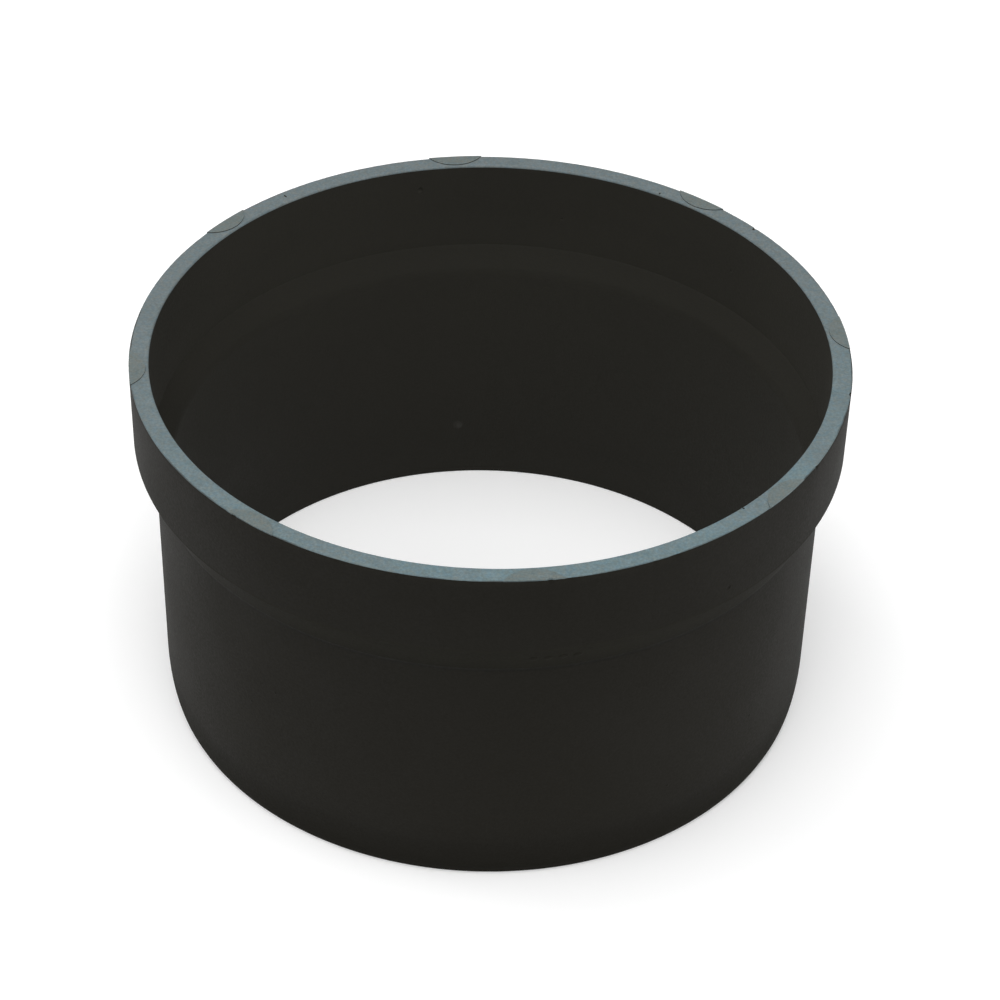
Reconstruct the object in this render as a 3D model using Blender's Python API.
"""Reducing coupling for plastic drain pipe, moulded in one piece.

A plain socket collar steps down over a conical shoulder to a spigot with a rounded lead-in. The spigot
stands at the bottom and the socket opens upwards. The origin is the centre of the spigot's end face, and
+Z runs up the axis. Dimensions are in millimetres, and heights are measured up from the spigot's end face.
"""

import math

import bmesh
import bpy
from mathutils import Matrix

MM = 0.001

# Outside
RIM_HEIGHT = 65.0
COLLAR_DIAMETER = 116.8
COLLAR_LENGTH = 14.1
SHOULDER_LENGTH = 6.2
SPIGOT_DIAMETER = 110.0
OUTER_DRAFT = math.radians(0.5)
LEAD_IN_LENGTH = 8.0
LEAD_IN_DEPTH = 1.1
RIM_OUTER_ROUND = 0.2

# Inside
SOCKET_DIAMETER = 110.4
SOCKET_DEPTH = 16.3
SOCKET_TAPER = 0.1
INNER_STEP_LENGTH = 4.3
THROAT_DIAMETER = 104.4
BORE_END_DIAMETER = 103.4
RIM_INNER_ROUND = 0.3

# Witness pads that the ejector pins leave on the rim
PIN_COUNT = 8
PIN_RADIUS = 5.5
PIN_CIRCLE_RADIUS = 61.2
PIN_FIRST_AZIMUTH = math.radians(7.0)
PAD_PROUD = 0.12
PAD_EDGE_INSET = 0.05
PAD_ROOT = 1.0

# Moulded row of pips on the shoulder
PIP_COUNT = 4
PIP_RADIUS = 0.75
PIP_PROUD = 0.2
PIP_ROOT = 0.9
PIP_ROW_AZIMUTH = math.radians(-79.0)
PIP_SPACING = math.radians(2.3)

# Fineness of the round surfaces
TURN_STEPS = 96
ROUND_STEPS = 2
LEAD_IN_STEPS = 5
PIN_SIDES = 48
PIP_SIDES = 12
SMOOTH_ANGLE = math.radians(25.0)


def arc(centre, radius, start, end, steps):
    """Points of a circular arc in the (radius, height) plane, both ends included."""
    angles = [start + (end - start) * step / steps for step in range(steps + 1)]
    return [(centre[0] + radius * math.cos(a), centre[1] + radius * math.sin(a)) for a in angles]


def lead_in(top_radius):
    """The spigot's rounded end, a flat quarter of an ellipse cut off short of its tip."""
    reach = 0.97
    full_depth = LEAD_IN_DEPTH / (1.0 - math.sqrt(1.0 - reach**2))
    points = []
    for step in range(LEAD_IN_STEPS + 1):
        share = step / LEAD_IN_STEPS
        inward = full_depth * (1.0 - math.sqrt(1.0 - (reach * share) ** 2))
        points.append((top_radius - inward, LEAD_IN_LENGTH * (1.0 - share)))
    return points


def outer_profile():
    """Outer wall from the rim's flat face down to the spigot's end face."""
    collar_radius = COLLAR_DIAMETER / 2
    collar_end = RIM_HEIGHT - COLLAR_LENGTH
    shoulder_end = collar_end - SHOULDER_LENGTH
    spigot_radius = SPIGOT_DIAMETER / 2
    spigot_loss = (shoulder_end - LEAD_IN_LENGTH) * math.tan(OUTER_DRAFT)
    round_centre = (collar_radius - RIM_OUTER_ROUND, RIM_HEIGHT - RIM_OUTER_ROUND)
    rim_edge = arc(round_centre, RIM_OUTER_ROUND, math.pi / 2, 0.0, ROUND_STEPS)
    collar_foot = (collar_radius - COLLAR_LENGTH * math.tan(OUTER_DRAFT), collar_end)
    shoulder_foot = (spigot_radius, shoulder_end)
    return rim_edge + [collar_foot, shoulder_foot] + lead_in(spigot_radius - spigot_loss)


def inner_profile():
    """Inner wall from the spigot's end face up to the rim's flat face."""
    socket_radius = SOCKET_DIAMETER / 2
    step_top = RIM_HEIGHT - SOCKET_DEPTH
    round_centre = (socket_radius + RIM_INNER_ROUND, RIM_HEIGHT - RIM_INNER_ROUND)
    bore_end = (BORE_END_DIAMETER / 2, 0.0)
    step_foot = (THROAT_DIAMETER / 2, step_top - INNER_STEP_LENGTH)
    socket_root = (socket_radius - SOCKET_TAPER, step_top)
    mouth_edge = arc(round_centre, RIM_INNER_ROUND, math.pi, math.pi / 2, ROUND_STEPS)
    return [bore_end, step_foot, socket_root] + mouth_edge


def turned(profile):
    """A closed profile of (radius, height) points spun once round the Z axis."""
    body = bmesh.new()
    points = [body.verts.new((radius, 0.0, height)) for radius, height in profile]
    edges = [body.edges.new(pair) for pair in zip(points, points[1:] + points[:1])]
    bmesh.ops.spin(
        body,
        geom=points + edges,
        cent=(0.0, 0.0, 0.0),
        axis=(0.0, 0.0, 1.0),
        angle=math.tau,
        steps=TURN_STEPS,
        use_merge=True,
    )
    return body


def add_disc(body, sides, radius, height, placing):
    """A short cylinder about the placing's own Z axis."""
    bmesh.ops.create_cone(
        body,
        cap_ends=True,
        segments=sides,
        radius1=radius,
        radius2=radius,
        depth=height,
        matrix=placing,
    )


def ejector_pins():
    """The pins' ends, set out on a circle just outside the rim."""
    pins = bmesh.new()
    for pin in range(PIN_COUNT):
        azimuth = PIN_FIRST_AZIMUTH + math.tau * pin / PIN_COUNT
        stand = Matrix.Rotation(azimuth, 4, "Z") @ Matrix.Translation((PIN_CIRCLE_RADIUS, 0.0, RIM_HEIGHT))
        add_disc(pins, PIN_SIDES, PIN_RADIUS, 4.0 * PAD_ROOT, stand)
    return pins


def pad_ring():
    """The ring of the rim that the pins can mark, as high as the pads stand."""
    inside = PIN_CIRCLE_RADIUS - PIN_RADIUS - PAD_EDGE_INSET
    outside = COLLAR_DIAMETER / 2 - PAD_EDGE_INSET
    top = RIM_HEIGHT + PAD_PROUD
    foot = RIM_HEIGHT - PAD_ROOT
    return turned([(outside, top), (outside, foot), (inside, foot), (inside, top)])


def shoulder_pips():
    """A row of round pips at mid-height of the shoulder, square to its cone."""
    spigot_radius = SPIGOT_DIAMETER / 2
    run_in = COLLAR_DIAMETER / 2 - COLLAR_LENGTH * math.tan(OUTER_DRAFT) - spigot_radius
    slope = math.atan2(run_in, SHOULDER_LENGTH)
    middle = (spigot_radius + run_in / 2, 0.0, RIM_HEIGHT - COLLAR_LENGTH - SHOULDER_LENGTH / 2)
    face_out = Matrix.Rotation(math.pi / 2 + slope, 4, "Y")
    lift = Matrix.Translation((0.0, 0.0, (PIP_PROUD - PIP_ROOT) / 2))
    pips = bmesh.new()
    for pip in range(PIP_COUNT):
        azimuth = PIP_ROW_AZIMUTH + PIP_SPACING * (pip - (PIP_COUNT - 1) / 2)
        placing = Matrix.Rotation(azimuth, 4, "Z") @ Matrix.Translation(middle) @ face_out @ lift
        add_disc(pips, PIP_SIDES, PIP_RADIUS, PIP_PROUD + PIP_ROOT, placing)
    return pips


def make_object(name, body):
    """An object in metres, with its faces pointing outwards."""
    bmesh.ops.recalc_face_normals(body, faces=body.faces)
    bmesh.ops.scale(body, vec=(MM, MM, MM), verts=body.verts)
    mesh = bpy.data.meshes.new(name)
    body.to_mesh(mesh)
    body.free()
    made = bpy.data.objects.new(name, mesh)
    bpy.context.scene.collection.objects.link(made)
    return made


def make_helper(name, body):
    """A shape that only a Boolean reads."""
    helper = make_object(name, body)
    helper.hide_render = True
    helper.display_type = "WIRE"
    return helper


def add_boolean(target, helper, operation):
    """The helper joined to the target, or kept only where both are."""
    modifier = target.modifiers.new(helper.name, "BOOLEAN")
    modifier.operation = operation
    modifier.solver = "EXACT"
    modifier.object = helper


def dark_plastic():
    """Matt black-grey moulded plastic."""
    material = bpy.data.materials.new("dark_plastic")
    material.use_nodes = True
    shader = material.node_tree.nodes["Principled BSDF"]
    shader.inputs["Base Color"].default_value = (0.018, 0.0165, 0.014, 1.0)
    shader.inputs["Roughness"].default_value = 0.5
    shader.inputs["Metallic"].default_value = 0.0
    return material


def build():
    """The coupling, its only part."""
    for old in list(bpy.data.objects):
        bpy.data.objects.remove(old)
    coupling = make_object("coupling_body", turned(outer_profile() + inner_profile()))
    pads = make_helper("ejector_pads", pad_ring())
    add_boolean(pads, make_helper("ejector_pins", ejector_pins()), "INTERSECT")
    add_boolean(coupling, pads, "UNION")
    add_boolean(coupling, make_helper("shoulder_pips", shoulder_pips()), "UNION")
    coupling.data.materials.append(dark_plastic())
    coupling.data.shade_smooth()
    coupling.data.set_sharp_from_angle(angle=SMOOTH_ANGLE)


build()
